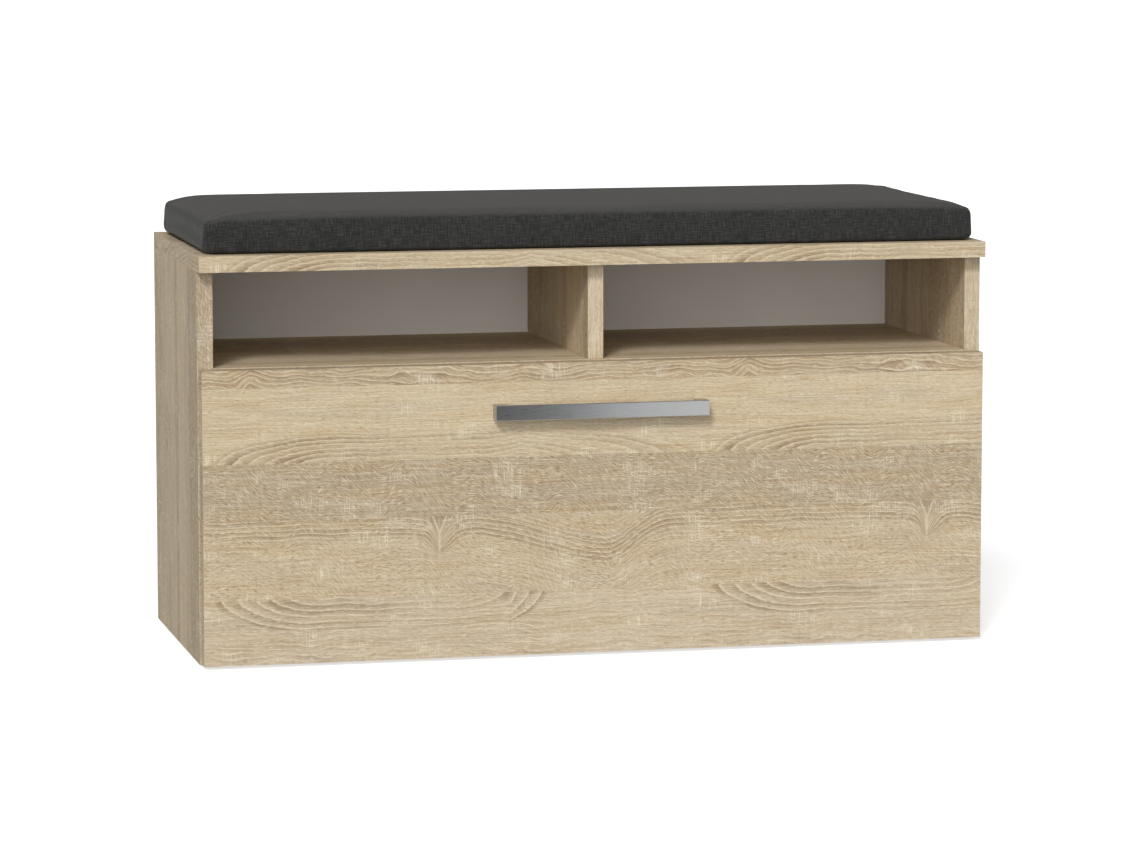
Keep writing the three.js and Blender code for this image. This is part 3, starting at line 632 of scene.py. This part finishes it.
def puff(cushion, most):
    """Fills the cover as foam does: cloth under pressure, held at its underside, moved no more than most."""
    start = places_of(cushion.data)
    floor_level = start[:, 2].min()
    held = cushion.vertex_groups.new(name="underside")
    held.add([int(i) for i in np.nonzero(start[:, 2] < floor_level + HELD_HEIGHT)[0]], 1.0, "REPLACE")
    cloth = cushion.modifiers.new("filling", "CLOTH")
    cloth.settings.quality = 6
    cloth.settings.mass = 0.3
    cloth.settings.tension_stiffness = 25.0
    cloth.settings.compression_stiffness = 25.0
    cloth.settings.bending_stiffness = 3.0
    cloth.settings.use_pressure = True
    cloth.settings.uniform_pressure_force = 4.0
    cloth.settings.effector_weights.gravity = 0.0
    cloth.settings.vertex_group_mass = "underside"
    cloth.point_cache.frame_start = 1
    cloth.point_cache.frame_end = FILLING_STEPS
    for step in range(1, FILLING_STEPS + 1):
        scene.frame_set(step)
    bake_modifiers(cushion)
    scene.frame_set(1)
    moved = places_of(cushion.data) - start
    length = np.linalg.norm(moved, axis=1, keepdims=True)
    kept = start + moved * most * np.tanh(length / most) / np.maximum(length, 1e-9)
    kept[:, 2] = np.maximum(kept[:, 2], floor_level)
    cushion.data.vertices.foreach_set("co", kept.ravel())
    cushion.data.update()


def seat_cushion():
    """One box cushion, a woven cover over foam: soft edges, a slight crown and no piping."""
    low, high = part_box("seat_cushion")
    room = Vector((0.5, 1.0, 0.0)) * MM
    slack = Vector((0.0, 0.0, CUSHION_SLACK))
    mesh = foam_block(low + room, high - room - slack, CUSHION_CORNER, CUSHION_RIM)
    cushion = bpy.data.objects.new("cushion_cover", mesh)
    scene.collection.objects.link(cushion)
    remesh = cushion.modifiers.new("even_cloth", "REMESH")
    remesh.mode = "VOXEL"
    remesh.voxel_size = CLOTH_CELL
    even = cushion.modifiers.new("even_rims", "SMOOTH")
    even.factor, even.iterations = 0.5, 4
    bake_modifiers(cushion)
    crown(cushion, END_DROP, TOP_RISE)
    puff(cushion, CUSHION_SLACK)
    for face in cushion.data.polygons:
        face.use_smooth = True
    rounder = cushion.modifiers.new("rounder", "SUBSURF")
    rounder.levels = rounder.render_levels = 1
    bake_modifiers(cushion)
    cushion.data.materials.clear()
    cushion.data.materials.append(woven_melange())
    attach(cushion, "carcass")
    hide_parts("seat_cushion")


# ------------------------------------------------------------------------------------- the studio


def sunlight(name, towards, energy, softness):
    """A light so far off that it falls evenly, softened by an apparent width in degrees."""
    light = bpy.data.lights.new(name, "SUN")
    light.energy = energy
    light.angle = math.radians(softness)
    lamp = bpy.data.objects.new(name, light)
    lamp.rotation_mode = "QUATERNION"
    lamp.rotation_quaternion = Vector(towards).to_track_quat("-Z", "Y")
    scene.collection.objects.link(lamp)
    return lamp


def sheet_of(name, middle, size, colour, glow):
    """An upright card in front of the bench, seen only in reflections."""
    bpy.ops.mesh.primitive_plane_add(size=1.0, location=middle, rotation=(math.radians(90), 0.0, 0.0))
    card = bpy.context.object
    card.name = name
    card.scale = (*size, 1.0)
    felt, _, shader = finish_of(name + "_felt", Roughness=1.0)
    shader.inputs["Base Color"].default_value = linear(colour)
    shader.inputs["Emission Color"].default_value = linear(colour)
    shader.inputs["Emission Strength"].default_value = glow
    card.data.materials.append(felt)
    for way in ("camera", "diffuse", "transmission", "shadow"):
        setattr(card, "visible_" + way, False)
    return card


def studio():
    """A pale floor, a soft key light from the front left, a broad fill from the front and an even room."""
    scene.view_settings.view_transform = "Standard"
    bpy.ops.mesh.primitive_plane_add(size=60.0, location=(0.0, 0.0, 0.0))
    floor = bpy.context.object
    floor.name = "studio_floor"
    paper, tree, shader = finish_of("pale_paper", Roughness=0.9)
    mottle = add(tree, "TexNoise", Scale=3.0, Detail=2.0)
    paper_tone = add(tree, "ValToRGB", mottle, stops=[(0.0, "#f6f6f6"), (1.0, "#f9f9f9")])
    link(tree, paper_tone, shader.inputs["Base Color"])
    shader.inputs["Emission Color"].default_value = (1.0, 1.0, 1.0, 1.0)
    shader.inputs["Emission Strength"].default_value = 0.6
    floor.data.materials.append(paper)
    floor.visible_diffuse = False  # white paper would otherwise flood the sides with light from below

    sunlight("key_light", (0.5, 1.0, -0.85), 1.85, 14)
    fill = sunlight("front_fill", (0.33, 1.0, -0.18), 1.38, 50)
    fill.visible_glossy = False  # a broad wall of light, too dim to be mirrored

    room = bpy.data.worlds.new("pale_room")
    room.use_nodes = True
    room.node_tree.nodes.clear()
    seen = add(room.node_tree, "LightPath").node.outputs["Is Camera Ray"]
    strength = add(room.node_tree, "Mix", seen, 0.27, 1.0)
    add(room.node_tree, "OutputWorld", add(room.node_tree, "Background", "#ffffff", strength))
    scene.world = room

    # Two cards for reflections, chiefly the handle's: a dark flag at the left, a bright panel at the right.
    flag = sheet_of("dark_flag", (-0.56, -0.62, 0.25), (1.3, 0.7), "#3a3a3a", 1.1)
    panel = sheet_of("bright_panel", (0.72, -0.62, 0.25), (1.1, 0.7), "#ffffff", 0.85)


def camera():
    """The camera, aimed at the bench from a little above and to its left."""
    aim, distance = Vector((0.0038, -0.0027, 0.2383)), 5.346
    azimuth, elevation = math.radians(13.1), math.radians(7.0)
    forward = Vector((
        math.sin(azimuth) * math.cos(elevation), math.cos(azimuth) * math.cos(elevation), -math.sin(elevation)
    ))
    eye = bpy.data.objects.new("camera", bpy.data.cameras.new("camera"))
    eye.data.sensor_width = 36.0
    eye.data.lens = 146.5
    eye.location = aim - forward * distance
    eye.rotation_mode = "QUATERNION"
    eye.rotation_quaternion = forward.to_track_quat("-Z", "Y")
    scene.collection.objects.link(eye)
    scene.camera = eye


dress_all()
seat_cushion()
studio()
camera()
